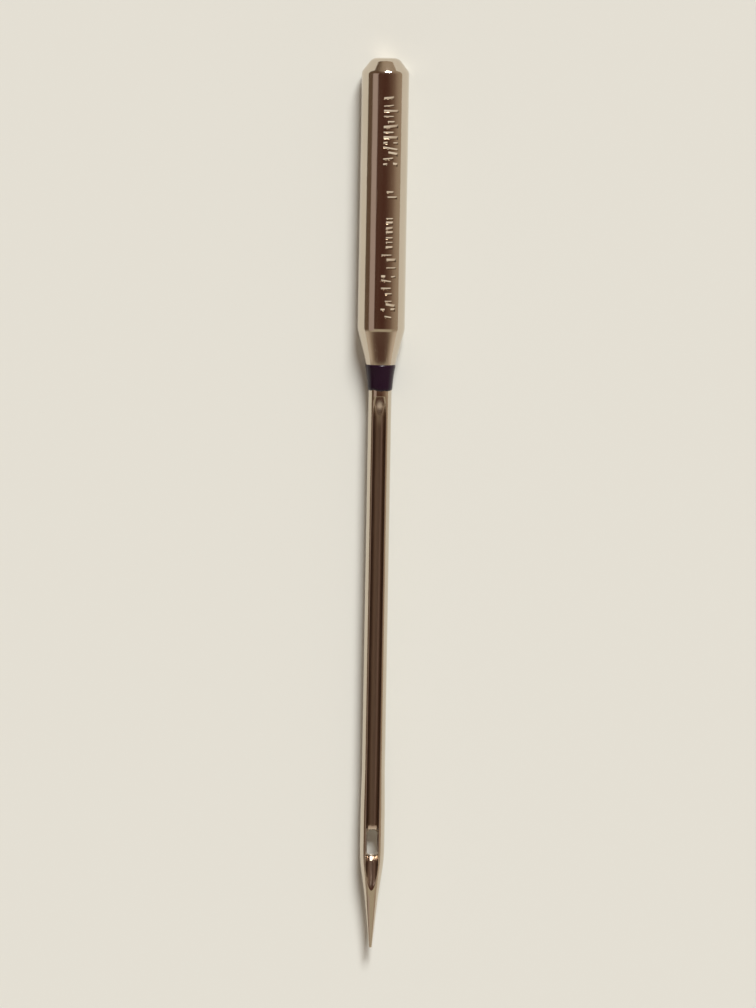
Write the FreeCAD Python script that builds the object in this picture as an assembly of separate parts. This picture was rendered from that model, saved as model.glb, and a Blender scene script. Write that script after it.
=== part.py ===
"""Household sewing machine needle with a flat-backed shank, lying on its flat, millimetres.

The needle lies along Y with its butt towards +Y and its point towards -Y. The long groove faces up (+Z),
and the flat of the shank is the ground plane, Z = 0. Stations are measured along the needle from the butt.
"""

import FreeCAD, Part
import math
import os

V = FreeCAD.Vector

# Overall and shank
overall_length = 38.6
shank_radius = 1.025
butt_face_radius = 0.56
butt_edge_round = 0.40
butt_bevel_length = 0.60
butt_bevel_round = 0.30

# Shoulder, and how far the flat keeps the blade off the surface that the needle lies on
shoulder_start = 11.72
shoulder_half_angle = 14.3
shoulder_top_round = 0.80
shoulder_foot_round = 6.80
blade_clearance = 0.095

# Blade, with a slight swell that starts this far over the eye
blade_radius = 0.50
eye_swell = 0.03
swell_over_eye = 2.55
swell_length = 1.6
swell_round = 8.0

# Eye: from its end nearest the point to the tip, its opening, and the web of steel that it goes through
eye_to_tip = 4.05
eye_length = 1.06
eye_width = 0.43
eye_corner_round = 0.14
eye_front_rim_round = 0.10
eye_back_rim_round = 0.08
web_at_eye = 0.30

# Long groove on the front
groove_below_shoulder = 3.0
groove_width = 0.54
groove_depth = 0.40
groove_run_in_radius = 1.30
groove_level_past_eye = 0.20
groove_run_out_length = 1.30
groove_bend_round = 1.20

# Scarf and short groove on the back
scarf_over_eye = 5.2
scarf_level_past_eye = 0.12
scarf_wheel_radius = 11.0
scarf_step_round = 1.10
short_groove_width = 0.36
short_groove_sink = 0.07
short_groove_length = 1.45

# Point: the bulge is measured from the middle of the eye, the waist from the eye's end nearest the tip
point_bulge_start = 0.18
point_bulge_half_angle = 8.4
point_bulge_round = 7.30
point_waist = 1.75
point_waist_round = 9.0
tip_round = 0.057

# Lacquer band that marks the size
band_below_shoulder = 1.53
band_length = 1.12
band_thickness = 0.025

# Room that a cutter has past the metal that it cuts, and how near two edges are when they touch
cutter_room = 0.5
touching = 1e-4

eye_radius = blade_radius + eye_swell
eye_end = overall_length - eye_to_tip
eye_middle = eye_end - eye_length / 2
eye_start = eye_end - eye_length
groove_floor = blade_radius - groove_depth
scarf_floor = groove_floor - web_at_eye
scarf_depth = eye_radius + scarf_floor
axis_height = blade_radius + blade_clearance
butt_y = overall_length / 2


def at(station, height, across=0.0):
    """Point at a station along the needle, a height over its axis and a distance across it."""
    return V(across, butt_y - station, axis_height + height)


def unit(vector):
    return V(vector).normalize()


def rounded_path(corners):
    """Edges along corners given as (point, round radius), with each inner corner turned by a tangent arc."""
    edges = []
    here = corners[0][0]
    for (before, _), (corner, radius), (after, _) in zip(corners, corners[1:], corners[2:]):
        to_before = unit(before - corner)
        to_after = unit(after - corner)
        turn = math.pi - to_before.getAngle(to_after)
        setback = radius * math.tan(turn / 2)
        arc_start = corner + to_before * setback
        arc_end = corner + to_after * setback
        middle = unit(to_before + to_after)
        arc_middle = corner + middle * (radius / math.cos(turn / 2) - radius)
        edges.append(Part.LineSegment(here, arc_start).toShape())
        edges.append(Part.Arc(arc_start, arc_middle, arc_end).toShape())
        here = arc_end
    edges.append(Part.LineSegment(here, corners[-1][0]).toShape())
    return edges


def blank_outline():
    """Half outline of the turned blank, from the middle of the butt to the middle of the tip."""
    shoulder_length = (shank_radius - blade_radius) / math.tan(math.radians(shoulder_half_angle))
    bulge_half_turn = math.radians(point_bulge_half_angle) / 2
    bulge_station = eye_middle + point_bulge_start + point_bulge_round * math.tan(bulge_half_turn)
    waist_station = eye_end + point_waist
    waist_drop = (waist_station - bulge_station) * math.tan(math.radians(point_bulge_half_angle))
    waist_radius = eye_radius - waist_drop
    swell_start = eye_start - swell_over_eye
    stations_and_radii = [
        (0.0, 0.0, 0.0),
        (0.0, butt_face_radius, butt_edge_round),
        (butt_bevel_length, shank_radius, butt_bevel_round),
        (shoulder_start, shank_radius, shoulder_top_round),
        (shoulder_start + shoulder_length, blade_radius, shoulder_foot_round),
        (swell_start, blade_radius, swell_round),
        (swell_start + swell_length, eye_radius, swell_round),
        (bulge_station, eye_radius, point_bulge_round),
        (waist_station, waist_radius, point_waist_round),
        (overall_length, tip_round, tip_round),
        (overall_length, 0.0, 0.0),
    ]
    return [(at(station, 0.0, radius), bend) for station, radius, bend in stations_and_radii]


def turned_blank():
    """The round blank: butt, shank, shoulder, blade, swell at the eye and point."""
    edges = rounded_path(blank_outline())
    edges.append(Part.LineSegment(at(overall_length, 0.0), at(0.0, 0.0)).toShape())
    face = Part.Face(Part.Wire(edges))
    return face.revolve(at(0.0, 0.0), V(0, 1, 0), 360)


def below_flat():
    """Everything under the plane of the shank's flat."""
    side = 2 * (shank_radius + cutter_room)
    length = overall_length + 2 * cutter_room
    return Part.makeBox(side, length, side, V(-side / 2, -length / 2, -side))


def slot_section(bottom, direction, width, height, side):
    """Round-bottomed slot section square to a direction, open to the front (side 1) or the back (side -1)."""
    radius = width / 2
    across = V(1, 0, 0)
    up = unit(direction.cross(across)) * side
    centre = bottom + up * radius
    left = centre - across * radius
    right = centre + across * radius
    top_left = left + up * (height - radius)
    top_right = right + up * (height - radius)
    return Part.Wire([
        Part.Arc(left, bottom, right).toShape(),
        Part.LineSegment(right, top_right).toShape(),
        Part.LineSegment(top_right, top_left).toShape(),
        Part.LineSegment(top_left, left).toShape(),
    ])


def slot_cutter(corners, width, side):
    """Slot section swept along a path of corners."""
    start = corners[0][0]
    direction = unit(corners[1][0] - start)
    shell = Part.BRepOffsetAPI.MakePipeShell(Part.Wire(rounded_path(corners)))
    shell.setBiNormalMode(V(1, 0, 0))
    shell.add(slot_section(start, direction, width, blade_radius + cutter_room, side))
    shell.build()
    shell.makeSolid()
    return shell.shape()


def surface_height(blank, station):
    """Height of the blank's top over its axis at a station."""
    upright = Part.LineSegment(at(station, 0.0), at(station, shank_radius + cutter_room)).toShape()
    return upright.common(blank).Length


def long_groove(blank):
    """Cutter for the thread groove on the front, from under the shoulder to its run-out below the eye."""
    start = shoulder_start + groove_below_shoulder
    run_in = math.sqrt(groove_depth * (2 * groove_run_in_radius - groove_depth))
    level_end = eye_end + groove_level_past_eye
    run_out_station = level_end + groove_run_out_length
    run_out_height = surface_height(blank, run_out_station)
    rise = (run_out_height - groove_floor) / groove_run_out_length
    sink = math.acos(1 - groove_depth / groove_run_in_radius)
    run_in_corner = start + run_in - groove_run_in_radius * math.tan(sink / 2)
    entry = at(start - cutter_room * math.cos(sink), blade_radius + cutter_room * math.sin(sink))
    return slot_cutter(
        [
            (entry, 0.0),
            (at(run_in_corner, groove_floor), groove_run_in_radius),
            (at(level_end, groove_floor), groove_bend_round),
            (at(run_out_station + cutter_room, run_out_height + cutter_room * rise), 0.0),
        ],
        groove_width,
        1,
    )


def short_groove(blank):
    """Cutter for the short run-out groove on the back, below the eye."""
    end = eye_end + short_groove_length
    end_height = -surface_height(blank, end)
    floor = scarf_floor + short_groove_sink
    level_end = eye_end + scarf_level_past_eye + scarf_step_round / 2
    slope = (end_height - floor) / (end - level_end)
    return slot_cutter(
        [
            (at(eye_middle, floor), 0.0),
            (at(level_end, floor), groove_bend_round),
            (at(end + cutter_room, end_height + cutter_room * slope), 0.0),
        ],
        short_groove_width,
        -1,
    )


def scarf():
    """Cutter for the scarf ground into the back over the eye: a long easy slope in and a short step out."""
    outside = -(eye_radius + cutter_room)
    slope_in = math.acos(1 - scarf_depth / scarf_wheel_radius)
    step_out = math.acos(1 - scarf_depth / scarf_step_round)
    start = eye_start - scarf_over_eye
    end = eye_end + scarf_level_past_eye + scarf_step_round * math.tan(step_out / 2)
    entry_reach = cutter_room / math.tan(slope_in)
    exit_reach = cutter_room / math.tan(step_out)
    edges = rounded_path([
        (at(start - entry_reach, outside), 0.0),
        (at(start + scarf_depth / math.tan(slope_in), scarf_floor), scarf_wheel_radius),
        (at(end, scarf_floor), scarf_step_round),
        (at(end + scarf_depth / math.tan(step_out) + exit_reach, outside), 0.0),
    ])
    edges.append(Part.LineSegment(edges[-1].lastVertex().Point, edges[0].firstVertex().Point).toShape())
    half_width = eye_radius + cutter_room
    face = Part.Face(Part.Wire(edges))
    face.translate(V(-half_width, 0, 0))
    return face.extrude(V(2 * half_width, 0, 0))


def eye_hole():
    """Cutter for the thread's eye: a rounded oblong through the blade."""
    height = 2 * (eye_radius + cutter_room)
    box = Part.makeBox(eye_width, eye_length, height, at(eye_end, -height / 2, -eye_width / 2))
    uprights = [edge for edge in box.Edges if edge.BoundBox.ZLength > height / 2]
    return box.makeFillet(eye_corner_round, uprights)


def eye_rim(body, side):
    """Edges where the eye opens to the front (side 1) or to the back (side -1)."""
    rim = []
    for edge in body.Edges:
        box = edge.BoundBox
        within_width = max(abs(box.XMin), abs(box.XMax)) < eye_width / 2 + touching
        within_length = box.YMin > butt_y - eye_end - touching and box.YMax < butt_y - eye_start + touching
        on_side = min((box.ZMin - axis_height) * side, (box.ZMax - axis_height) * side) > 0
        if within_width and within_length and on_side:
            rim.append(edge)
    return rim


def build_needle(blank, band):
    """The whole steel needle as one solid, with a face of its own under the lacquer band."""
    body = blank.cut(below_flat())
    body = body.cut(long_groove(blank))
    body = body.cut(scarf())
    body = body.cut(eye_hole())
    body = body.makeFillet(eye_front_rim_round, eye_rim(body, 1))
    body = body.makeFillet(eye_back_rim_round, eye_rim(body, -1))
    return body.cut(short_groove(blank)).cut(band)


def build_band(blank):
    """The thin lacquer ring on the foot of the shoulder, face to face with the steel."""
    coated = blank.makeOffsetShape(band_thickness, touching)
    side = 2 * (shank_radius + cutter_room)
    end = shoulder_start + band_below_shoulder + band_length
    slab = Part.makeBox(side, band_length, side, at(end, -side / 2, -side / 2))
    return coated.common(slab).cut(blank).cut(below_flat())


os.makedirs("parts", exist_ok=True)
turned = turned_blank()
lacquer = build_band(turned)
for name, shape in (("needle", build_needle(turned, lacquer)), ("size_band", lacquer)):
    print(name, "solids", len(shape.Solids), "valid", shape.isValid(), "volume", round(shape.Volume, 4))
    shape.exportStep(os.path.join("parts", name + ".step"))
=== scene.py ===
import math
import random

import bmesh
import bpy
from mathutils import Matrix, Vector


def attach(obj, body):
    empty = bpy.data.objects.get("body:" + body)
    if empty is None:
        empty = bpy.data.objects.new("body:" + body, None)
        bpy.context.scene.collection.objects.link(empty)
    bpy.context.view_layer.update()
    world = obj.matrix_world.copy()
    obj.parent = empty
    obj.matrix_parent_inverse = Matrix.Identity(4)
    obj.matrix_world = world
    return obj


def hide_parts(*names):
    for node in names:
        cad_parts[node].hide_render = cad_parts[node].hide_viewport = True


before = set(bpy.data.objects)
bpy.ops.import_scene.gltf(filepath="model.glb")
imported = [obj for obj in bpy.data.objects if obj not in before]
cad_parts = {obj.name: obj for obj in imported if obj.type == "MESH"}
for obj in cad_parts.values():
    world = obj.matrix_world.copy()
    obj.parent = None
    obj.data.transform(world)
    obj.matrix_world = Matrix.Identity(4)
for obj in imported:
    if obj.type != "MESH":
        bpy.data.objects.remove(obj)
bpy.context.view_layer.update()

# Sizes are millimetres. A station is the distance from the butt along the needle. Heights are over its axis.
MM = 0.001

# Overall, shank and shoulder
overall_length = 38.6
shank_radius = 1.025
butt_face_radius = 0.56
butt_edge_round = 0.40
butt_bevel_length = 0.60
butt_bevel_round = 0.30
shoulder_start = 11.72
shoulder_half_angle = math.radians(14.3)
shoulder_top_round = 0.80
shoulder_foot_round = 6.80
blade_clearance = 0.095

# Blade, eye and point
blade_radius = 0.50
eye_swell = 0.03
swell_over_eye = 2.55
swell_length = 1.6
swell_round = 8.0
eye_to_tip = 4.05
eye_length = 1.06
eye_width = 0.43
eye_corner_round = 0.14
eye_rim_round = 0.08
eye_side_rim_round = 0.04
eye_back_rim_round = 0.06
eye_ramp_length = 0.22
eye_ramp_slope = 0.58
eye_ramp_end_slope = 1.5
eye_ramp_squareness = 10
web_at_eye = 0.30
point_bulge_start = 0.18
point_bulge_half_angle = math.radians(8.4)
point_bulge_round = 7.30
point_waist = 1.75
point_waist_round = 9.0
tip_round = 0.057

# Long groove on the front, scarf and short groove on the back
groove_start = shoulder_start + 3.0
groove_half_width = 0.27
groove_depth = 0.40
groove_run_in_radius = 1.30
groove_level_past_eye = 0.20
groove_run_out_length = 1.30
groove_mouth_round = 0.03
scarf_over_eye = 5.2
scarf_level_past_eye = 0.12
scarf_wheel_radius = 11.0
scarf_step_round = 1.10
scarf_edge_round = 0.03
short_groove_half_width = 0.18
short_groove_sink = 0.07
short_groove_length = 1.45

# Lacquer band, with a bead along each edge that starts at a share of the thickness
band_start = shoulder_start + 1.53
band_length = 1.12
band_thickness = 0.025
band_sunk = 0.02
band_wander = 0.018
band_bead_length = 0.04
band_edge_share = 0.25
band_steps = 12
BAND_TURNS = 96

# Stamped marks on the shank: plain strokes in a row beside the middle of the front, in a few groups
mark_groups = [(1.75, 4.80), (5.80, 6.10), (6.95, 9.15), (9.45, 11.35)]
marks_pitch = 0.23
marks_angle = math.radians(16.5)
mark_height = 0.66
mark_floor_widths = (0.003, 0.003, 0.014)
mark_depths = (0.040, 0.048, 0.056)
mark_easy_slopes = (1.6, 1.9, 2.2)
mark_steep_slope = 0.55
mark_leans = (0.0, 0.0, 0.0, 0.10, -0.10, -0.16)
mark_spacings = (0.8, 1, 1, 1.4)
mark_room = 0.008
mark_steps = 6
mark_sharp_angle = math.radians(20)
MARK_SEED = 4

# How deep a place counts as worked, how deep the groove and a mark are where their painted shade is darkest,
# and how long the groove's start is, lighter with less painted shade, and what share of the shade it begins
# with
worked_depth = 0.004
darkest_groove_depth = 0.12
darkest_mark_depth = 0.24
brighter_run_in = 0.9
brighter_share = 0.25

# A height over everything on the needle, for a cut that doesn't reach a place, and how far before its start a
# cut is looked for
OUT_OF_REACH = 100.0
CUT_REACH = 0.5

# Steps that bring a point onto the eye's rim, rows of cuts in the eye's wall, and a distance too small to be
# the height of that wall
RIM_STEPS = 3
WALL_CUTS = 3
NEARLY_TOUCHING = 0.01

# Colours of the finishes, in pairs where the cloudy handling marks shade one into the other, and the painted
# shade: the dark colour that the groove and the stamped marks are darkened towards, and its largest share
plate_colours = (0.70, 0.62, 0.52), (0.62, 0.54, 0.44)
flat_colours = (0.69, 0.615, 0.52), (0.60, 0.525, 0.43)
hollow_shade_colour = (0.26, 0.175, 0.125)
hollow_shade_colour_share = 0.85
lacquer_colours = (0.008, 0.0015, 0.008), (0.019, 0.0035, 0.017)

# The floor's own colour, and how the lit floor looks from low down, away from the key lamp and towards it
floor_colour = (0.70, 0.715, 0.68)
FLOOR_AS_SEEN = (0.752, 0.716, 0.631)
FLOOR_TOWARDS_KEY = (0.847, 0.807, 0.716)

# Camera: metres from the needle, degrees off straight down, the picture's lean, and the needle's share of the
# picture's height
camera_distance = 0.50
camera_tilt = math.radians(4)
camera_lean = math.radians(1.0)
camera_fill = 0.885

# Fineness of the turned blank, and where its lengthwise lines gather at the groove's mouth: (degrees from the
# top, distance outside the groove's edge)
TURNS = 180
ARC_STEP = 0.05
ARC_TURN = math.radians(2.5)
SMALL_BEND = 0.1
SMALL_ARC_TURN = math.radians(7)
GATHERED_LINES = [
    (28, -0.020), (30, -0.008), (32, -0.0015), (34, 0.0015), (36, 0.010), (38, 0.022), (40, 0.038),
]
GATHER_OVER = 0.4
NARROWEST_GATHERED = 0.345
COARSE_STEP = 0.45
FINE_ZONES = [
    (groove_start - 0.2, groove_start + 1.2, 0.035),
    (32.6, 36.3, 0.022),
    (36.3, overall_length, 0.06),
]

eye_radius = blade_radius + eye_swell
eye_end = overall_length - eye_to_tip
eye_start = eye_end - eye_length
eye_middle = eye_end - eye_length / 2
groove_floor = blade_radius - groove_depth
scarf_floor = groove_floor - web_at_eye
scarf_depth = eye_radius + scarf_floor
axis_height = blade_radius + blade_clearance


def rounded_corners(corners):
    """Points along corners given as (station, radius, bend), with an arc at each inner corner."""
    points = [Vector(corners[0][:2])]
    for before, corner, after in zip(corners, corners[1:], corners[2:]):
        middle, bend = Vector(corner[:2]), corner[2]
        to_before = (Vector(before[:2]) - middle).normalized()
        to_after = (Vector(after[:2]) - middle).normalized()
        turn = math.pi - to_before.angle(to_after)
        setback = bend * math.tan(turn / 2)
        centre = middle + (to_before + to_after).normalized() * bend / math.cos(turn / 2)
        arc_start = middle + to_before * setback
        arc_end = middle + to_after * setback
        widest_turn = SMALL_ARC_TURN if bend < SMALL_BEND else ARC_TURN
        steps = max(2, math.ceil(turn / widest_turn), math.ceil(turn * bend / ARC_STEP))
        sweep = (arc_start - centre).angle_signed(arc_end - centre)
        for step in range(steps + 1):
            points.append(centre + Matrix.Rotation(-sweep * step / steps, 2) @ (arc_start - centre))
    points.append(Vector(corners[-1][:2]))
    return points


def blank_outline():
    """Outline of the turned blank, from the middle of the butt to the middle of the tip, finely divided."""
    shoulder_length = (shank_radius - blade_radius) / math.tan(shoulder_half_angle)
    bulge_station = eye_middle + point_bulge_start + point_bulge_round * math.tan(point_bulge_half_angle / 2)
    waist_station = eye_end + point_waist
    waist_radius = eye_radius - (waist_station - bulge_station) * math.tan(point_bulge_half_angle)
    swell_start = eye_start - swell_over_eye
    points = rounded_corners([
        (0.0, 0.0, 0.0),
        (0.0, butt_face_radius, butt_edge_round),
        (butt_bevel_length, shank_radius, butt_bevel_round),
        (shoulder_start, shank_radius, shoulder_top_round),
        (shoulder_start + shoulder_length, blade_radius, shoulder_foot_round),
        (swell_start, blade_radius, swell_round),
        (swell_start + swell_length, eye_radius, swell_round),
        (bulge_station, eye_radius, point_bulge_round),
        (waist_station, waist_radius, point_waist_round),
        (overall_length, tip_round, tip_round),
        (overall_length, 0.0, 0.0),
    ])
    divided = [points[0]]
    for start, end in zip(points, points[1:]):
        middle = (start.x + end.x) / 2
        spacing = min([step for low, high, step in FINE_ZONES if low < middle < high] + [COARSE_STEP])
        parts = max(1, math.ceil((end - start).length / spacing))
        divided += [start.lerp(end, part / parts) for part in range(1, parts + 1)]
    return divided


def radius_at(outline, station):
    """Radius of the blank at a station."""
    for start, end in zip(outline, outline[1:]):
        if start.x <= station <= end.x and end.x > start.x:
            return start.y + (end.y - start.y) * (station - start.x) / (end.x - start.x)
    return 0.0


def soft_min(a, b, blend):
    """The lower of two heights, with their crossing rounded over."""
    near = max(blend - abs(a - b), 0.0) / blend
    return min(a, b) - near * near * blend / 4


def slot_height(across, floor, half_width):
    """Height of a round-bottomed slot, or far away beside it."""
    if abs(across) >= half_width:
        return OUT_OF_REACH
    return floor + half_width - math.sqrt(half_width ** 2 - across ** 2)


def wheel_rise(distance, radius):
    """Rise of a grinding wheel's rim at a distance from its lowest line."""
    if distance <= 0:
        return 0.0
    if distance >= radius:
        return OUT_OF_REACH
    return radius - math.sqrt(radius ** 2 - distance ** 2)


def groove_height(outline, across, station):
    """Height of the long groove's surface: in with the wheel's own radius, level, and out on a ramp."""
    level_start = groove_start + math.sqrt(groove_depth * (2 * groove_run_in_radius - groove_depth))
    level_end = eye_end + groove_level_past_eye
    run_out_rise = radius_at(outline, level_end + groove_run_out_length) - groove_floor
    rise = wheel_rise(level_start - station, groove_run_in_radius)
    rise += max(station - level_end, 0.0) * run_out_rise / groove_run_out_length
    return slot_height(across, groove_floor + rise, groove_half_width)


def back_height(outline, across, station):
    """Height under the axis, taken positive, that the scarf and the short groove leave on the back."""
    slope_in_length = math.sqrt(scarf_depth * (2 * scarf_wheel_radius - scarf_depth))
    level_start = eye_start - scarf_over_eye + slope_in_length
    level_end = eye_end + scarf_level_past_eye
    left = -scarf_floor
    left += wheel_rise(level_start - station, scarf_wheel_radius)
    left += wheel_rise(station - level_end, scarf_step_round)
    end = eye_end + short_groove_length
    short_level = -scarf_floor - short_groove_sink
    short_level_end = level_end + scarf_step_round / 2
    short_rise = (radius_at(outline, end) - short_level) / (end - short_level_end)
    if station > eye_middle:
        floor = short_level + max(station - short_level_end, 0.0) * short_rise
        left = soft_min(left, slot_height(across, floor, short_groove_half_width), scarf_edge_round)
    return left


def eye_distance(across, station):
    """Distance from the rim of the eye's rounded oblong in plan: negative in the opening."""
    over_x = abs(across) - (eye_width / 2 - eye_corner_round)
    over_y = abs(station - eye_middle) - (eye_length / 2 - eye_corner_round)
    outside = math.hypot(max(over_x, 0.0), max(over_y, 0.0))
    return outside + min(max(over_x, over_y), 0.0) - eye_corner_round


def eye_gap(across, station):
    """Distance from the eye's rim, and the direction away from it."""
    small = 1e-4
    gap = eye_distance(across, station)
    away_x = (eye_distance(across + small, station) - gap) / small
    away_y = (eye_distance(across, station + small) - gap) / small
    return gap, away_x, away_y


def rim_drop(distance, rim_round):
    """How far a rounded rim has fallen at a distance from the opening."""
    share = 1 - max(distance, 0.0) / rim_round
    return rim_round * (1 - math.sqrt(1 - max(share, 0.0) ** 2))


def spun_blank(outline):
    """The round blank: its outline spun about the needle's axis."""
    bm = bmesh.new()
    verts = [bm.verts.new((point.y, -point.x, 0.0)) for point in outline]
    edges = [bm.edges.new(pair) for pair in zip(verts, verts[1:])]
    bmesh.ops.spin(
        bm, geom=verts + edges, cent=(0, 0, 0), axis=(0, 1, 0), dvec=(0, 0, 0),
        angle=math.tau, steps=TURNS, use_merge=True, use_duplicate=False,
    )
    bmesh.ops.remove_doubles(bm, verts=bm.verts, dist=1e-5)
    return bm


def gather_lines(bm):
    """Moves the mesh's lengthwise lines sideways so that both edges of the long groove run along them."""
    begin = groove_start - GATHER_OVER
    for vert in bm.verts:
        station, radius = -vert.co.y, math.hypot(vert.co.x, vert.co.z)
        if vert.co.z <= 0 or station <= begin or radius < tip_round:
            continue
        width_radius = max(radius, NARROWEST_GATHERED)
        marks = [(0.0, 0.0)]
        for degrees, outside in GATHERED_LINES:
            marks.append((math.radians(degrees), math.asin((groove_half_width + outside) / width_radius)))
        marks.append((math.pi / 2, math.pi / 2))
        angle = math.atan2(abs(vert.co.x), vert.co.z)
        for (low, low_to), (high, high_to) in zip(marks, marks[1:]):
            if low <= angle <= high:
                moved = low_to + (high_to - low_to) * (angle - low) / (high - low)
        angle += (moved - angle) * min(1.0, (station - begin) / GATHER_OVER)
        vert.co.x = math.copysign(radius * math.sin(angle), vert.co.x)
        vert.co.z = radius * math.cos(angle)


def grind_flat(bm):
    """Cuts the shank's flat, which is the plane that the needle lies on."""
    bmesh.ops.bisect_plane(
        bm, geom=bm.verts[:] + bm.edges[:] + bm.faces[:], dist=1e-6,
        plane_co=(0, 0, -axis_height), plane_no=(0, 0, -1), clear_outer=True,
    )
    open_edges = [edge for edge in bm.edges if edge.is_boundary]
    bmesh.ops.holes_fill(bm, edges=open_edges, sides=0)
    for edge in open_edges:
        edge.smooth = False


def mouth_drop(outline, across, station):
    """How far the rounded edge of the long groove has fallen just outside its mouth."""
    just_inside = 0.999 * groove_half_width
    foot = groove_height(outline, just_inside, station)
    top = math.sqrt(max(radius_at(outline, station) ** 2 - groove_half_width ** 2, 0.0))
    mouth_round = min(groove_mouth_round, top - foot)
    return rim_drop(abs(across) - groove_half_width, mouth_round) if mouth_round > 0 else 0.0


def press_grooves(bm, outline):
    """Presses the long groove into the front, and grinds the scarf and the short groove into the back."""
    for vert in bm.verts:
        station = -vert.co.y
        if vert.co.z > 0 and station > groove_start - CUT_REACH:
            if abs(vert.co.x) < groove_half_width:
                height = groove_height(outline, vert.co.x, station)
                vert.co.z = soft_min(vert.co.z, height, groove_mouth_round)
            else:
                vert.co.z -= mouth_drop(outline, vert.co.x, station)
        if vert.co.z < 0 and station > eye_start - scarf_over_eye - CUT_REACH:
            vert.co.z = -soft_min(-vert.co.z, back_height(outline, vert.co.x, station), scarf_edge_round)


def thread_ramp_height(across, station):
    """Height of the ramp, nearly flat across, that leads the thread from the groove down into the eye."""
    over_end = eye_start - station
    lowest = groove_floor - eye_ramp_slope * eye_ramp_length
    lowest += groove_half_width * (abs(across) / groove_half_width) ** eye_ramp_squareness
    if over_end > 0:
        return lowest + eye_ramp_slope * over_end
    return lowest - eye_ramp_end_slope * over_end


def pierce_eye(bm, outline):
    """Opens the eye through the web, rounds its rims and walls it."""
    web_middle = (groove_floor + scarf_floor) / 2
    inside = [
        face for face in bm.faces
        if eye_distance(face.calc_center_median().x, -face.calc_center_median().y) < 0
    ]
    bmesh.ops.delete(bm, geom=inside, context="FACES")
    rim_edges = [edge for edge in bm.edges if edge.is_boundary]
    rim_verts = {vert for edge in rim_edges for vert in edge.verts}
    for vert in rim_verts:
        x, station = vert.co.x, -vert.co.y
        for _ in range(RIM_STEPS):
            gap, away_x, away_y = eye_gap(x, station)
            x -= gap * away_x
            station -= gap * away_y
        front = vert.co.z > web_middle
        height = groove_height(outline, x, station) if front else -back_height(outline, x, station)
        vert.co = (x, -station, height)
    for vert in bm.verts:
        gap, _, away_y = eye_gap(vert.co.x, -vert.co.y)
        if gap >= eye_ramp_length + groove_mouth_round or abs(vert.co.x) >= groove_half_width:
            continue
        if vert.co.z < web_middle:
            vert.co.z += rim_drop(gap, eye_back_rim_round)
            continue
        at_end = away_y ** 2
        if vert.co.y > -eye_middle:
            ramp = thread_ramp_height(vert.co.x, -vert.co.y)
        else:
            ramp = vert.co.z - eye_ramp_slope * (eye_ramp_length - gap) * at_end
        vert.co.z = soft_min(vert.co.z, ramp, groove_mouth_round)
        vert.co.z -= rim_drop(gap, eye_side_rim_round + (eye_rim_round - eye_side_rim_round) * at_end)
    walls = bmesh.ops.bridge_loops(bm, edges=rim_edges)
    uprights = [
        edge for edge in walls["edges"]
        if abs(edge.verts[0].co.z - edge.verts[1].co.z) > NEARLY_TOUCHING
    ]
    bmesh.ops.subdivide_edges(bm, edges=uprights, cuts=WALL_CUTS, use_grid_fill=True)


def into_frame(bm):
    """Moves a mesh from the needle's own millimetres to its place in the frame, in metres."""
    bmesh.ops.translate(bm, verts=bm.verts, vec=(0, overall_length / 2, axis_height))
    bmesh.ops.scale(bm, verts=bm.verts, vec=(MM, MM, MM))


def as_object(bm, name):
    """An object of that name with the mesh, its normals outwards and its faces smooth."""
    bmesh.ops.recalc_face_normals(bm, faces=bm.faces)
    for face in bm.faces:
        face.smooth = True
    mesh = bpy.data.meshes.new(name)
    bm.to_mesh(mesh)
    bm.free()
    made = bpy.data.objects.new(name, mesh)
    bpy.context.scene.collection.objects.link(made)
    return made


def across_stroke(bm, choose, station, angle_from, angle_to):
    """A stroke of a stamp round the shank: a wedge with an easy side and a steep one, sometimes leaning."""
    depth = choose.choice(mark_depths)
    bottom = shank_radius - depth
    top = shank_radius + mark_room
    half_floor = choose.choice(mark_floor_widths) / 2
    easy_side = half_floor + choose.choice(mark_easy_slopes) * (top - bottom)
    steep_side = half_floor + mark_steep_slope * (top - bottom)
    section = [(bottom, half_floor), (top, easy_side), (top, -steep_side), (bottom, -half_floor)]
    lean = choose.choice(mark_leans) * (angle_to - angle_from)
    start = Matrix.Rotation(angle_from, 4, "Y")
    verts = [bm.verts.new(start @ Vector((0, y - lean / 2 - station, r))) for r, y in section]
    face = bm.faces.new(verts)
    bmesh.ops.spin(
        bm, geom=[face], cent=(0, 0, 0), axis=(0, 1, 0), dvec=(0, lean / mark_steps, 0),
        angle=angle_to - angle_from, steps=mark_steps, use_merge=False, use_duplicate=False,
    )


def stamp():
    """The stamp that leaves the row of plain strokes: long, short and split bars in groups."""
    bm = bmesh.new()
    choose = random.Random(MARK_SEED)
    half_angle = mark_height / shank_radius / 2
    low, high = marks_angle - half_angle, marks_angle + half_angle
    third = (high - low) / 3
    bar = 0.8 * third
    spans = {
        "long": [(low, high)],
        "lower": [(low, high - third)],
        "upper": [(low + third, high)],
        "middle": [(low + bar, high - bar)],
        "split": [(low, low + bar), (high - third, high)],
    }
    for start, end in mark_groups:
        station = start
        while station < end:
            for angle_from, angle_to in spans[choose.choice(sorted(spans))]:
                across_stroke(bm, choose, station, angle_from, angle_to)
            station += marks_pitch * choose.choice(mark_spacings)
    return as_object(bm, "stamp")


def finished(obj):
    """The object with its modifiers applied."""
    graph = bpy.context.evaluated_depsgraph_get()
    mesh = bpy.data.meshes.new_from_object(obj.evaluated_get(graph))
    obj.modifiers.clear()
    obj.data = mesh
    return obj


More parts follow.
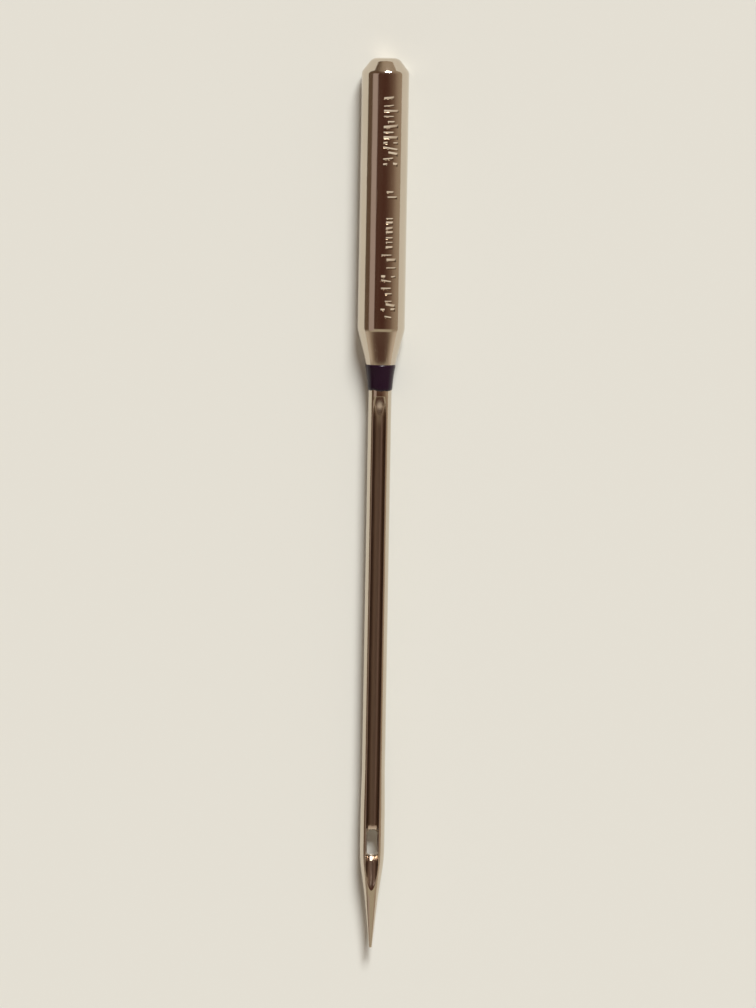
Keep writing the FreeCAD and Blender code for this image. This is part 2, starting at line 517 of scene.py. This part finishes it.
def stamp_marks(needle):
    """Sinks the stamp into the shank."""
    cutter = stamp()
    press = needle.modifiers.new("stamped", "BOOLEAN")
    press.operation = "DIFFERENCE"
    press.solver = "EXACT"
    press.object = cutter
    finished(needle)
    bpy.data.objects.remove(cutter)
    bm = bmesh.new()
    bm.from_mesh(needle.data)
    for edge in bm.edges:
        on_shank = all(vert.co.z > 0 and -vert.co.y < shoulder_start for vert in edge.verts)
        if on_shank and len(edge.link_faces) == 2 and edge.calc_face_angle() > mark_sharp_angle:
            edge.smooth = False
    bm.to_mesh(needle.data)
    bm.free()


def shade_and_rough_share(across, station, sunk):
    """How much painted shade darkens a sunk place and how much rougher it is, both more where deeper: less in
    a mark, and little near the groove's start and near the eye's ends, which are left lighter as a painted
    highlight.
    """
    if station < shoulder_start:
        return min(1.0, sunk / darkest_mark_depth)
    from_ends = (station - groove_start) / brighter_run_in
    if abs(station - eye_middle) > eye_length / 2 - eye_corner_round:
        from_ends = min(from_ends, eye_distance(across, station) / eye_ramp_length)
    from_ends = min(1.0, max(0.0, from_ends))
    return min(1.0, sunk / darkest_groove_depth) * (brighter_share + (1 - brighter_share) * from_ends)


def note_worked_places(mesh, outline):
    """Writes how much painted shade darkens each point of a groove or mark and how much rougher it is, and
    where the scarf was ground, for the finish.
    """
    hollow_shade_and_rough = mesh.attributes.new("hollow_shade_and_rough", "FLOAT", "POINT")
    ground = mesh.attributes.new("ground", "FLOAT", "POINT")
    for index, vert in enumerate(mesh.vertices):
        across, station, height = vert.co.x, -vert.co.y, vert.co.z
        sunk = radius_at(outline, station) - math.hypot(across, height)
        if sunk <= worked_depth:
            continue
        if height > 0 or abs(across) <= groove_half_width and station > eye_start - NEARLY_TOUCHING:
            hollow_shade_and_rough.data[index].value = shade_and_rough_share(across, station, sunk)
        if height < 0 and station > groove_start:
            ground.data[index].value = 1.0


def make_needle(outline):
    """The steel needle at full fineness, in the place of the CAD solid."""
    bm = spun_blank(outline)
    gather_lines(bm)
    grind_flat(bm)
    press_grooves(bm, outline)
    pierce_eye(bm, outline)
    needle = as_object(bm, "fine_needle")
    stamp_marks(needle)
    note_worked_places(needle.data, outline)
    bm = bmesh.new()
    bm.from_mesh(needle.data)
    into_frame(bm)
    bm.to_mesh(needle.data)
    bm.free()
    return needle


def make_band(outline):
    """The lacquer ring: a thin shell over the foot of the shoulder with soft, slightly uneven edges."""
    end = band_start + band_length
    stations = [band_start + band_length * step / band_steps for step in range(band_steps + 1)]
    bm = bmesh.new()
    outside = []
    for station in stations:
        from_edge = min(station - band_start, end - station) / band_bead_length
        bead = math.sqrt(min(1.0, from_edge)) if from_edge > 0 else 0.0
        thickness = band_thickness * (band_edge_share + (1 - band_edge_share) * bead)
        outside.append((radius_at(outline, station) + thickness, station))
    inside = [(radius_at(outline, station) - band_sunk, station) for station in reversed(stations)]
    verts = [bm.verts.new((radius, -station, 0.0)) for radius, station in outside + inside]
    edges = [bm.edges.new(pair) for pair in zip(verts, verts[1:] + verts[:1])]
    bmesh.ops.spin(
        bm, geom=verts + edges, cent=(0, 0, 0), axis=(0, 1, 0), dvec=(0, 0, 0),
        angle=math.tau, steps=BAND_TURNS, use_merge=True, use_duplicate=False,
    )
    bmesh.ops.remove_doubles(bm, verts=bm.verts, dist=1e-5)
    for vert in bm.verts:
        angle = math.atan2(vert.co.x, vert.co.z)
        near_end = (-vert.co.y - band_start) / band_length
        wander = math.sin(3 * angle + 0.6) + 0.6 * math.sin(7 * angle + 2.0) + 0.3 * math.sin(13 * angle)
        vert.co.y -= band_wander * wander * near_end
    bmesh.ops.bisect_plane(
        bm, geom=bm.verts[:] + bm.edges[:] + bm.faces[:], dist=1e-6,
        plane_co=(0, 0, -axis_height), plane_no=(0, 0, -1), clear_outer=True,
    )
    bmesh.ops.holes_fill(bm, edges=[edge for edge in bm.edges if edge.is_boundary], sides=0)
    into_frame(bm)
    return as_object(bm, "lacquer_band")


def new_group(name, inputs, outputs):
    """A shader node group with named inputs, given as (name, default), and named outputs."""
    group = bpy.data.node_groups.new(name, "ShaderNodeTree")
    for label, default in inputs:
        kind = "NodeSocketVector" if isinstance(default, tuple) else "NodeSocketFloat"
        socket = group.interface.new_socket(label, in_out="INPUT", socket_type=kind)
        socket.default_value = default
    for label in outputs:
        group.interface.new_socket(label, in_out="OUTPUT", socket_type="NodeSocketFloat")
    return group, group.nodes.new("NodeGroupInput"), group.nodes.new("NodeGroupOutput")


def math_node(tree, operation, first, second):
    """A maths node fed by sockets or plain numbers."""
    node = tree.nodes.new("ShaderNodeMath")
    node.operation = operation
    for socket, value in zip(node.inputs, (first, second)):
        if isinstance(value, bpy.types.NodeSocket):
            tree.links.new(value, socket)
        else:
            socket.default_value = value
    return node.outputs[0]


def noise_node(tree, vector, detail, roughness):
    """A noise texture at scale 1 on a vector that is already scaled."""
    node = tree.nodes.new("ShaderNodeTexNoise")
    node.inputs["Scale"].default_value = 1.0
    node.inputs["Detail"].default_value = detail
    node.inputs["Roughness"].default_value = roughness
    tree.links.new(vector, node.inputs["Vector"])
    return node.outputs["Fac"]


def scaled_vector(tree, vector, scale, turn=(0.0, 0.0, 0.0)):
    """A vector turned and scaled by a mapping node."""
    node = tree.nodes.new("ShaderNodeMapping")
    node.vector_type = "POINT"
    node.inputs["Rotation"].default_value = turn
    node.inputs["Scale"].default_value = scale
    tree.links.new(vector, node.inputs["Vector"])
    return node.outputs["Vector"]


def draw_lines_group():
    """Fine lines along the needle, as wire drawing and polishing leave them."""
    group, given, out = new_group("draw_lines", [("Vector", (0.0, 0.0, 0.0))], ["Lines", "Broad"])
    fine = noise_node(group, scaled_vector(group, given.outputs["Vector"], (26000, 420, 26000)), 3, 0.6)
    broad = noise_node(group, scaled_vector(group, given.outputs["Vector"], (5200, 110, 5200)), 2, 0.5)
    group.links.new(fine, out.inputs["Lines"])
    group.links.new(broad, out.inputs["Broad"])
    return group


def grinding_group():
    """Cross-wise grinding lines on the ground faces."""
    group, given, out = new_group("grinding", [("Vector", (0.0, 0.0, 0.0))], ["Lines"])
    lines = noise_node(group, scaled_vector(group, given.outputs["Vector"], (300, 21000, 300)), 3, 0.7)
    group.links.new(lines, out.inputs["Lines"])
    return group


def scratches_group():
    """Sparse hairline scratches in two directions, from handling."""
    group, given, out = new_group("scratches", [("Vector", (0.0, 0.0, 0.0)), ("Amount", 0.3)], ["Mask"])
    masks = []
    for turn in ((0.0, 0.3, 0.5), (0.4, -0.2, -0.35)):
        vector = scaled_vector(group, given.outputs["Vector"], (16000, 650, 16000), turn)
        value = noise_node(group, vector, 1, 0.5)
        ramp = math_node(group, "SUBTRACT", value, 0.66)
        masks.append(math_node(group, "MULTIPLY", math_node(group, "MAXIMUM", ramp, 0.0), 9.0))
    both = math_node(group, "MAXIMUM", masks[0], masks[1])
    group.links.new(math_node(group, "MULTIPLY", both, given.outputs["Amount"]), out.inputs["Mask"])
    return group


def handling_group():
    """Slow cloudy changes, from finger marks and thin oil."""
    group, given, out = new_group("handling", [("Vector", (0.0, 0.0, 0.0))], ["Cloud"])
    cloud = noise_node(group, scaled_vector(group, given.outputs["Vector"], (900, 380, 900)), 4, 0.55)
    group.links.new(cloud, out.inputs["Cloud"])
    return group


def placed_group(tree, group, vector):
    """A node group placed in a material and given its vector."""
    node = tree.nodes.new("ShaderNodeGroup")
    node.node_tree = group
    tree.links.new(vector, node.inputs["Vector"])
    return node


def new_material(name):
    """A material with its Principled shader and object coordinates."""
    material = bpy.data.materials.new(name)
    material.use_nodes = True
    tree = material.node_tree
    shader = tree.nodes["Principled BSDF"]
    place = tree.nodes.new("ShaderNodeTexCoord").outputs["Object"]
    return material, tree, shader, place


def mixed_colour(tree, share, first, second):
    """A colour between two, by a share."""
    node = tree.nodes.new("ShaderNodeMix")
    node.data_type = "RGBA"
    for socket, value in ((node.inputs[6], first), (node.inputs[7], second)):
        if isinstance(value, bpy.types.NodeSocket):
            tree.links.new(value, socket)
        else:
            socket.default_value = (*value, 1.0)
    tree.links.new(share, node.inputs[0])
    return node.outputs[2]


def attribute_value(tree, name):
    """The value of a point attribute."""
    node = tree.nodes.new("ShaderNodeAttribute")
    node.attribute_name = name
    return node.outputs["Fac"]


def bump_node(tree, height, distance, strength):
    """A bump from a height that runs from 0 to 1."""
    node = tree.nodes.new("ShaderNodeBump")
    node.inputs["Distance"].default_value = distance
    node.inputs["Strength"].default_value = strength
    tree.links.new(height, node.inputs["Height"])
    return node.outputs["Normal"]


def steel_material(groups):
    """Bright nickel plate: drawn and polished outside, darkened with painted shade in the groove and the
    marks, ground on the scarf.
    """
    material, tree, shader, place = new_material("nickel_plated_steel")
    draw = placed_group(tree, groups["draw"], place)
    grind = placed_group(tree, groups["grind"], place)
    scratch = placed_group(tree, groups["scratch"], place)
    handling = placed_group(tree, groups["handling"], place)
    hollow_shade_and_rough = attribute_value(tree, "hollow_shade_and_rough")
    ground = attribute_value(tree, "ground")
    cloud = handling.outputs["Cloud"]

    # Colour: the plate, darkened with painted shade in the groove and the marks, more where they are deeper
    plate = mixed_colour(tree, cloud, *plate_colours)
    hollow_shade_amount = math_node(tree, "MULTIPLY", hollow_shade_and_rough, hollow_shade_colour_share)
    base = mixed_colour(tree, hollow_shade_amount, plate, hollow_shade_colour)
    tree.links.new(base, shader.inputs["Base Color"])
    shader.inputs["Metallic"].default_value = 1.0

    # Roughness: slight from polishing, more in worked places, on the ground scarf and in scratches
    rough = math_node(tree, "MULTIPLY_ADD", draw.outputs["Broad"], 0.10)
    rough.node.inputs[2].default_value = 0.06
    rough = math_node(tree, "ADD", rough, math_node(tree, "MULTIPLY", hollow_shade_and_rough, 0.20))
    rough = math_node(tree, "ADD", rough, math_node(tree, "MULTIPLY", ground, 0.12))
    rough = math_node(tree, "ADD", rough, math_node(tree, "MULTIPLY", scratch.outputs["Mask"], 0.25))
    tree.links.new(rough, shader.inputs["Roughness"])

    # Relief: lengthwise lines everywhere, and grinding lines on the scarf
    lines = math_node(tree, "MULTIPLY", draw.outputs["Lines"], 0.5)
    ground_lines = math_node(tree, "MULTIPLY", grind.outputs["Lines"], ground)
    ground_lines = math_node(tree, "MULTIPLY", ground_lines, 1.2)
    height = math_node(tree, "ADD", math_node(tree, "ADD", lines, draw.outputs["Broad"]), ground_lines)
    tree.links.new(bump_node(tree, height, 0.0000015, 0.6), shader.inputs["Normal"])
    return material


def flat_material(groups):
    """The ground flat of the shank: the same plate over lengthwise grinding lines."""
    material, tree, shader, place = new_material("ground_flat")
    draw = placed_group(tree, groups["draw"], place)
    handling = placed_group(tree, groups["handling"], place)
    base = mixed_colour(tree, handling.outputs["Cloud"], *flat_colours)
    tree.links.new(base, shader.inputs["Base Color"])
    shader.inputs["Metallic"].default_value = 1.0
    rough = math_node(tree, "MULTIPLY_ADD", draw.outputs["Lines"], 0.22)
    rough.node.inputs[2].default_value = 0.14
    tree.links.new(rough, shader.inputs["Roughness"])
    tree.links.new(bump_node(tree, draw.outputs["Lines"], 0.000002, 0.5), shader.inputs["Normal"])
    return material


def lacquer_material(groups):
    """Dark purple lacquer: glossy, a little thinner and redder in places."""
    material, tree, shader, place = new_material("purple_lacquer")
    handling = placed_group(tree, groups["handling"], place)
    draw = placed_group(tree, groups["draw"], place)
    base = mixed_colour(tree, handling.outputs["Cloud"], *lacquer_colours)
    tree.links.new(base, shader.inputs["Base Color"])
    rough = math_node(tree, "MULTIPLY_ADD", draw.outputs["Broad"], 0.12)
    rough.node.inputs[2].default_value = 0.20
    tree.links.new(rough, shader.inputs["Roughness"])
    shader.inputs["Specular IOR Level"].default_value = 0.25
    tree.links.new(bump_node(tree, handling.outputs["Cloud"], 0.00001, 0.4), shader.inputs["Normal"])
    return material


def dress_needle(needle, groups):
    """Gives the needle its finish, with the ground flat in a finish of its own."""
    needle.data.materials.clear()
    needle.data.materials.append(steel_material(groups))
    needle.data.materials.append(flat_material(groups))
    for face in needle.data.polygons:
        face.material_index = 0
        if face.normal.z < -0.999 and abs(face.center.z) < 0.001 * MM:
            face.material_index = 1


def make_floor():
    """A plain pale floor that runs out to the horizon."""
    bm = bmesh.new()
    bmesh.ops.create_grid(bm, x_segments=1, y_segments=1, size=6.0)
    floor = as_object(bm, "floor")
    material, _, shader, _ = new_material("pale_floor")
    shader.inputs["Base Color"].default_value = (*floor_colour, 1.0)
    shader.inputs["Roughness"].default_value = 0.9
    shader.inputs["Specular IOR Level"].default_value = 0.1
    floor.data.materials.append(material)


def colour_ramp(tree, value, shades):
    """Colours by a value, given as (position, colour)."""
    node = tree.nodes.new("ShaderNodeValToRGB")
    tree.links.new(value, node.inputs[0])
    while len(node.color_ramp.elements) < len(shades):
        node.color_ramp.elements.new(0.5)
    for element, (position, colour) in zip(node.color_ramp.elements, shades):
        element.position = position
        element.color = (*colour, 1.0)
    return node.outputs["Color"]


def eased(tree, value, start, end):
    """A share that eases from 0 to 1 while a value goes from start to end."""
    node = tree.nodes.new("ShaderNodeMapRange")
    node.interpolation_type = "SMOOTHSTEP"
    node.inputs["From Min"].default_value = start
    node.inputs["From Max"].default_value = end
    tree.links.new(value, node.inputs["Value"])
    return node.outputs["Result"]


def between(tree, value, low, high, soft):
    """A share that is 1 while a value is between two limits, and eases to 0 a little outside them."""
    above = eased(tree, value, low - soft, low)
    below = eased(tree, value, high + soft, high)
    return math_node(tree, "MULTIPLY", above, below)


def make_room():
    """The room that the steel reflects: brown walls, dark overhead, dim at the left, pale past the point.

    A pale band across the ceiling, a little past the point, is what the point's cone reflects. A rosy panel
    at the left draws a line along the shank. Below the horizon the room is painted as the lit floor looks,
    lighter towards the key lamp. Each list of colours goes from the horizon up to overhead.
    """
    world = bpy.data.worlds.new("room")
    bpy.context.scene.world = world
    world.use_nodes = True
    tree = world.node_tree
    direction = tree.nodes.new("ShaderNodeTexCoord").outputs["Generated"]
    split = tree.nodes.new("ShaderNodeSeparateXYZ")
    tree.links.new(direction, split.inputs[0])
    walls = colour_ramp(tree, split.outputs["Z"], [
        (0.00, (0.43, 0.345, 0.26)),
        (0.31, (0.39, 0.305, 0.225)),
        (0.53, (0.31, 0.225, 0.165)),
        (0.69, (0.21, 0.135, 0.095)),
        (0.83, (0.16, 0.095, 0.064)),
        (0.97, (0.096, 0.043, 0.029)),
        (1.00, (0.088, 0.036, 0.024)),
    ])
    dim_left = colour_ramp(tree, split.outputs["Z"], [
        (0.00, (0.15, 0.105, 0.070)),
        (0.60, (0.14, 0.085, 0.055)),
        (0.85, (0.088, 0.040, 0.026)),
        (1.00, (0.088, 0.036, 0.024)),
    ])
    past_point = colour_ramp(tree, split.outputs["Z"], [
        (0.00, (0.80, 0.72, 0.61)),
        (0.29, (0.60, 0.51, 0.41)),
        (0.50, (0.30, 0.22, 0.16)),
        (0.66, (0.14, 0.085, 0.060)),
        (0.82, (0.10, 0.050, 0.035)),
        (0.97, (0.092, 0.040, 0.027)),
    ])
    towards_point = split.outputs["Y"]
    sides = mixed_colour(tree, eased(tree, split.outputs["X"], -0.10, -0.50), walls, dim_left)
    room = mixed_colour(tree, eased(tree, towards_point, -0.17, -0.52), sides, past_point)
    near_band = math_node(
        tree, "MULTIPLY", eased(tree, towards_point, -0.14, -0.23), eased(tree, towards_point, -0.50, -0.39),
    )
    over_point = math_node(tree, "MULTIPLY", near_band, eased(tree, split.outputs["Z"], 0.30, 0.65))
    room = mixed_colour(tree, over_point, room, (0.50, 0.44, 0.33))
    room = mixed_colour(tree, eased(tree, towards_point, -0.62, -0.80), room, (1.0, 0.92, 0.80))
    panel = math_node(
        tree, "MULTIPLY", between(tree, split.outputs["Z"], 0.47, 0.81, 0.01),
        between(tree, towards_point, -0.315, 0.315, 0.02),
    )
    panel = math_node(tree, "MULTIPLY", panel, eased(tree, split.outputs["X"], -0.40, -0.45))
    room = mixed_colour(tree, panel, room, (0.455, 0.36, 0.323))
    far_floor = mixed_colour(tree, eased(tree, towards_point, 0.0, 1.0), FLOOR_AS_SEEN, FLOOR_TOWARDS_KEY)
    room = mixed_colour(tree, eased(tree, split.outputs["Z"], -0.001, -0.003), room, far_floor)
    tree.links.new(room, tree.nodes["Background"].inputs["Color"])


def towards(azimuth, elevation):
    """Unit vector from the needle towards an azimuth, from +Y towards +X, and an elevation, in degrees."""
    level = math.cos(math.radians(elevation))
    return Vector((
        math.sin(math.radians(azimuth)) * level,
        math.cos(math.radians(azimuth)) * level,
        math.sin(math.radians(elevation)),
    ))


def make_key_lamp():
    """A broad soft lamp, far away beyond the butt."""
    data = bpy.data.lights.new("key", "SUN")
    data.energy = 4.2
    data.color = (1.0, 0.99, 0.965)
    data.angle = math.radians(22)
    lamp = bpy.data.objects.new("key", data)
    bpy.context.scene.collection.objects.link(lamp)
    direction = towards(14, 36)
    lamp.location = direction
    lamp.rotation_euler = direction.to_track_quat("Z", "Y").to_euler()


def make_camera():
    """Looks down on the needle from a little towards its butt, which is at the top of the picture."""
    middle = Vector((0, 0, axis_height * MM))
    data = bpy.data.cameras.new("camera")
    camera = bpy.data.objects.new("camera", data)
    bpy.context.scene.collection.objects.link(camera)
    away = Vector((0, math.sin(camera_tilt), math.cos(camera_tilt)))
    camera.location = middle + away * camera_distance
    turn = Matrix.Rotation(-camera_tilt, 4, "X") @ Matrix.Rotation(camera_lean, 4, "Z")
    camera.rotation_euler = turn.to_euler()
    frame_height = overall_length * MM / camera_fill
    data.sensor_width = 24.0
    data.lens = data.sensor_width * camera_distance / frame_height
    data.clip_start = 0.005
    data.clip_end = 50.0
    bpy.context.scene.camera = camera


make_camera()
outline = blank_outline()
needle = make_needle(outline)
band = make_band(outline)
groups = {
    "draw": draw_lines_group(),
    "grind": grinding_group(),
    "scratch": scratches_group(),
    "handling": handling_group(),
}
dress_needle(needle, groups)
band.data.materials.append(lacquer_material(groups))

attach(needle, "root")
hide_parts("needle")
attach(band, "root")
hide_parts("size_band")

make_floor()
make_room()
make_key_lamp()
bpy.context.scene.view_settings.view_transform = "Standard"
